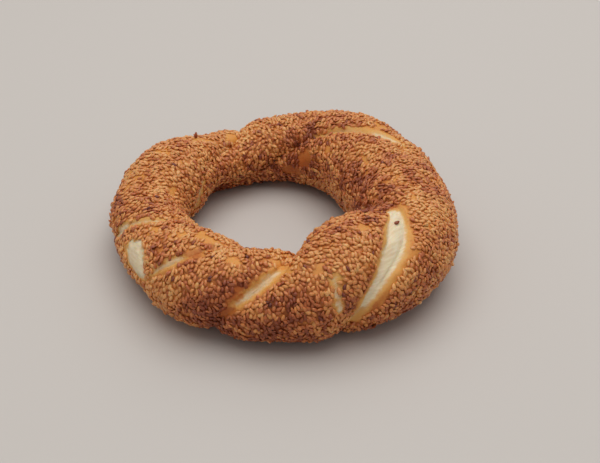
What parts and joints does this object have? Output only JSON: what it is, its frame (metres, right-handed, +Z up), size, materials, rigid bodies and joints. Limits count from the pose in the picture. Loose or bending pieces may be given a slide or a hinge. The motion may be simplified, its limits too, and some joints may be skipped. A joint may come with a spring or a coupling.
{
  "type": "simit",
  "caption": "Sesame bread ring: two strands of dough twisted round each other, joined into an uneven ring and baked, with seeds all over and a torn groove.",
  "frame": {"origin": "middle of the box around the ring, on the surface that it rests on", "axes": "+Z up through the hole, +X to the right and +Y to the back as the ring is seen with its torn groove at the front right"},
  "size_m": [0.1632, 0.1703, 0.0475],
  "materials": {
    "crust": "baked golden-brown crust under toasted sesame, slightly glossy"
  },
  "bodies": {
    "root": {"simit": "crust"}
  },
  "joints": []
}
